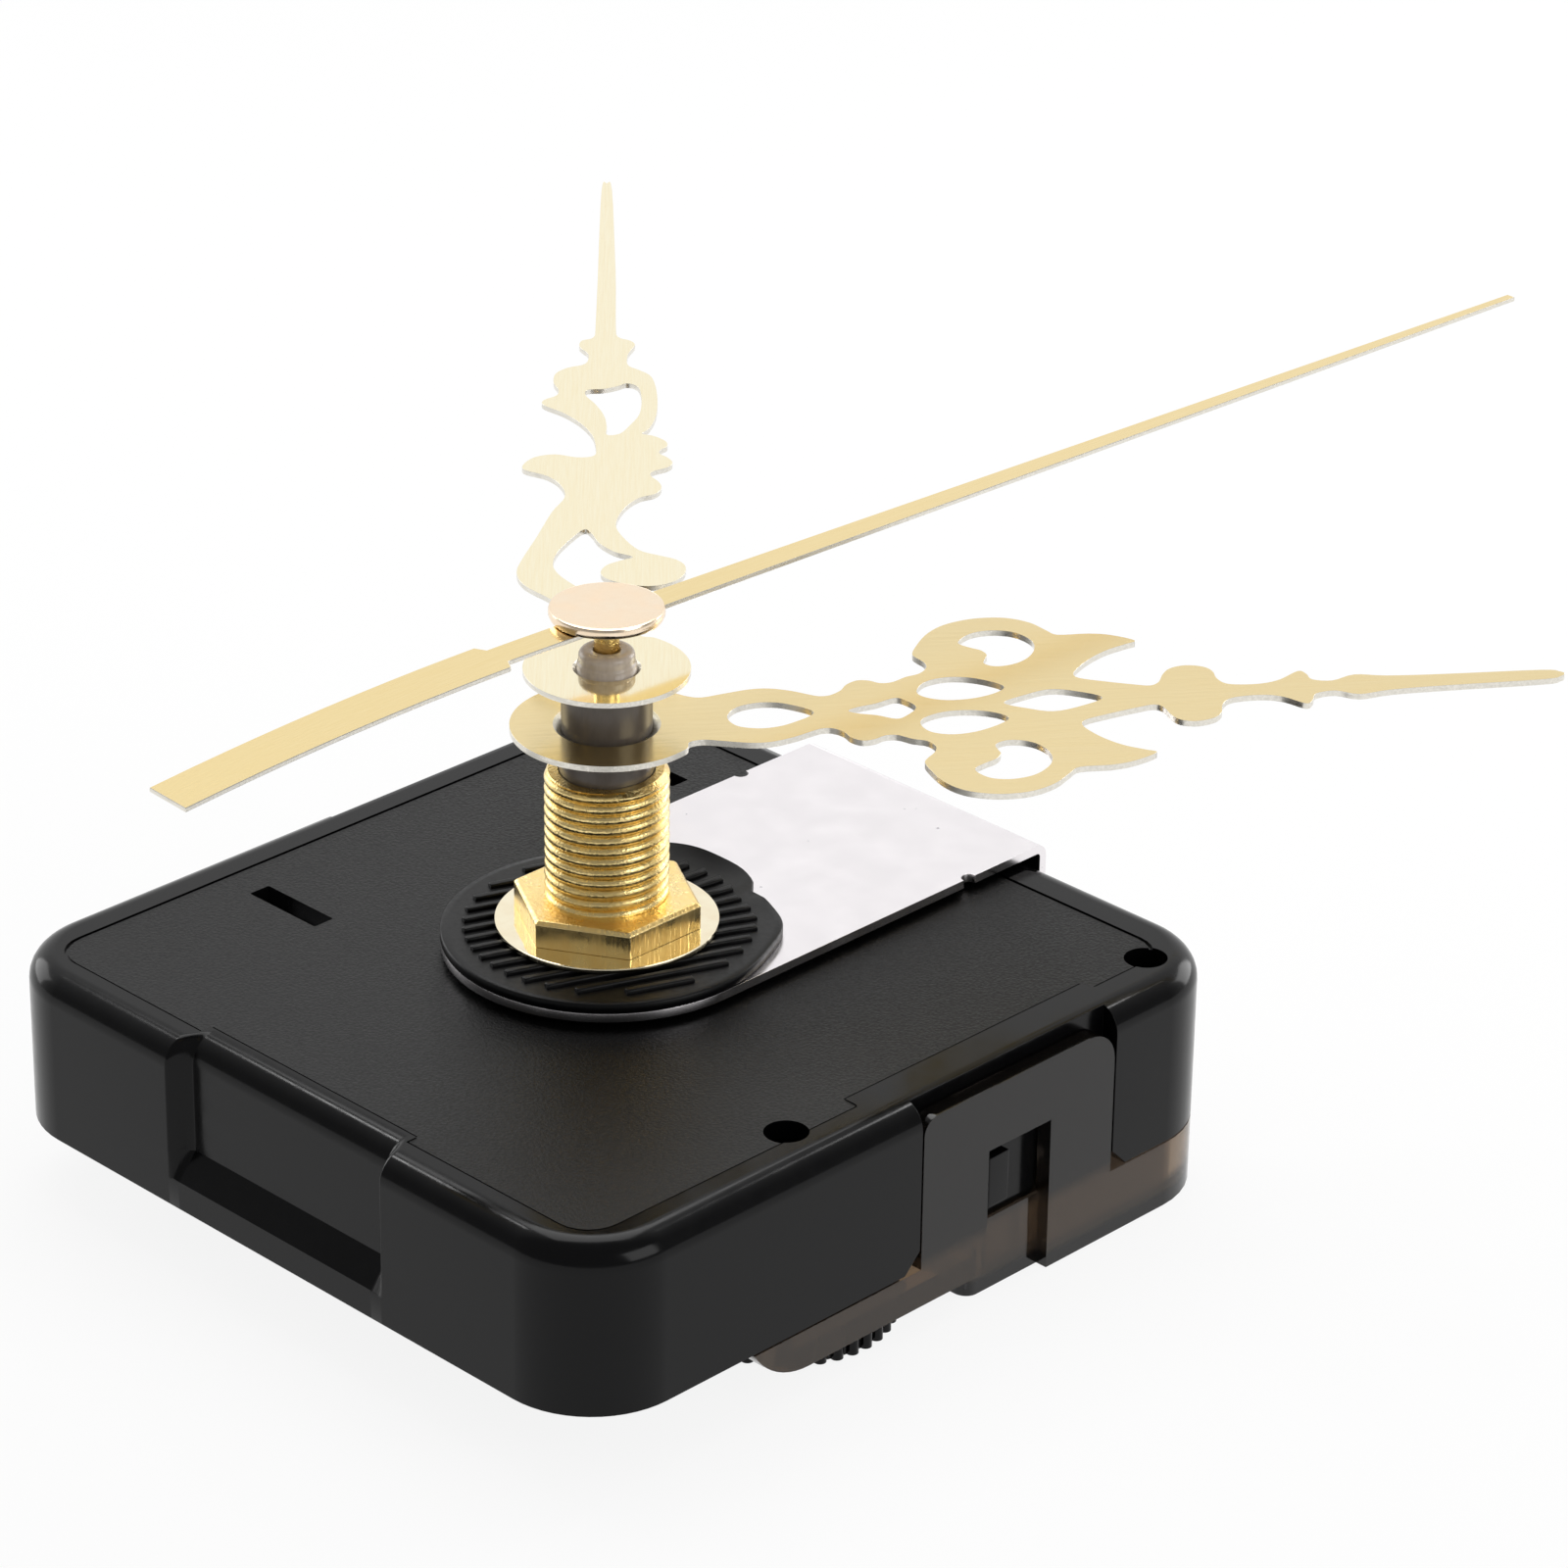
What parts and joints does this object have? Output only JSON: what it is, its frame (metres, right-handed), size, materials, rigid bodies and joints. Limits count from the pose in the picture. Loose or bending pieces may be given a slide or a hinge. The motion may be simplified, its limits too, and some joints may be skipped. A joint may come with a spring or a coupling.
{
  "type": "clock movement with hands",
  "caption": "Battery clock movement: square black case, smoky clear back cover with open battery bay, hanging plate, threaded bush and three ornate hands",
  "frame": {"origin": "on the shaft axis, in the plane of the flat back of the cover", "axes": "+Z along the shaft, out of the back towards the dial and the hands; +Y towards twelve o'clock and the hanging tab; +X towards three o'clock"},
  "size_m": [0.0997, 0.1179, 0.0406],
  "materials": {
    "case_plastic": "fine matt",
    "cover_plastic": "smoky, see-through",
    "brass": "bright turned",
    "rubber": "dull",
    "plated_steel": "bright plated",
    "white_plastic": "moulded",
    "soft_iron": "dull plated",
    "copper_wire": "enamelled copper wire",
    "board": "brown board",
    "chip_resin": "black resin",
    "magnet": "dark sintered",
    "arbor_steel": "polished",
    "tube_plastic": "moulded, warm grey",
    "hand_brass": "pale gold, with bare cut edges",
    "cap_brass": "pinkish, polished"
  },
  "bodies": {
    "case": {"front_case": "case_plastic", "back_cover": "cover_plastic", "threaded_bush": "brass", "hex_nut": "brass", "flat_washer": "brass", "rubber_gasket": "rubber", "hanging_plate": "plated_steel", "middle_plate": "white_plastic", "stator": "soft_iron", "coil_core": "soft_iron", "coil_former": "white_plastic", "coil_winding": "copper_wire", "circuit_board": "board", "quartz_crystal": "plated_steel", "chip_cover": "chip_resin", "positive_contact": "plated_steel", "negative_contact": "plated_steel"},
    "rotor": {"rotor_magnet": "magnet", "rotor_pinion": "white_plastic"},
    "intermediate": {"intermediate_wheel": "white_plastic"},
    "second": {"second_wheel": "white_plastic", "second_arbor": "arbor_steel", "second_post": "brass", "second_hand": "hand_brass", "second_cap": "cap_brass"},
    "third": {"third_wheel": "white_plastic", "third_arbor": "arbor_steel"},
    "centre": {"centre_wheel": "white_plastic"},
    "minute": {"minute_tube": "tube_plastic", "minute_hand": "hand_brass", "clutch_spring": "brass"},
    "hour": {"hour_wheel": "tube_plastic", "hour_hand": "hand_brass"},
    "minute_work": {"minute_work_wheel": "white_plastic", "minute_work_arbor": "arbor_steel"},
    "knob": {"setting_knob": "case_plastic"}
  },
  "joints": [
    {"name": "second_turn", "type": "hinge", "parent": "case", "child": "second", "pos_m": [0, 0, 0.01], "axis": [0, 0, 1], "continuous": true},
    {"name": "rotor_turn", "type": "hinge", "parent": "case", "child": "rotor", "pos_m": [-0.00984, 0.00929, 0.01], "axis": [0, 0, 1], "continuous": true},
    {"name": "intermediate_turn", "type": "hinge", "parent": "case", "child": "intermediate", "pos_m": [-0.00744, 0.00271, 0.01], "axis": [0, 0, 1], "continuous": true},
    {"name": "third_turn", "type": "hinge", "parent": "case", "child": "third", "pos_m": [-0.0051, 0.00883, 0.01], "axis": [0, 0, 1], "continuous": true},
    {"name": "centre_turn", "type": "hinge", "parent": "case", "child": "centre", "pos_m": [0, 0, 0.01], "axis": [0, 0, 1], "continuous": true},
    {"name": "minute_turn", "type": "hinge", "parent": "case", "child": "minute", "pos_m": [0, 0, 0.01], "axis": [0, 0, 1], "continuous": true},
    {"name": "hour_turn", "type": "hinge", "parent": "case", "child": "hour", "pos_m": [0, 0, 0.01], "axis": [0, 0, 1], "continuous": true},
    {"name": "minute_work_turn", "type": "hinge", "parent": "case", "child": "minute_work", "pos_m": [0.0105, -0.00033, 0.01], "axis": [0, 0, 1], "continuous": true},
    {"name": "knob_turn", "type": "hinge", "parent": "case", "child": "knob", "pos_m": [0.02034, -0.00398, 0.01], "axis": [0, 0, 1], "continuous": true}
  ],
  "couplings": [
    {"joint": "rotor_turn", "follows": "second_turn", "ratio": 30},
    {"joint": "intermediate_turn", "follows": "second_turn", "ratio": -5},
    {"joint": "third_turn", "follows": "second_turn", "ratio": -0.13333},
    {"joint": "centre_turn", "follows": "second_turn", "ratio": 0.016667},
    {"joint": "minute_turn", "follows": "second_turn", "ratio": 0.016667},
    {"joint": "hour_turn", "follows": "second_turn", "ratio": 0.0013889},
    {"joint": "minute_work_turn", "follows": "second_turn", "ratio": -0.0055556},
    {"joint": "knob_turn", "follows": "second_turn", "ratio": 0.016667}
  ]
}
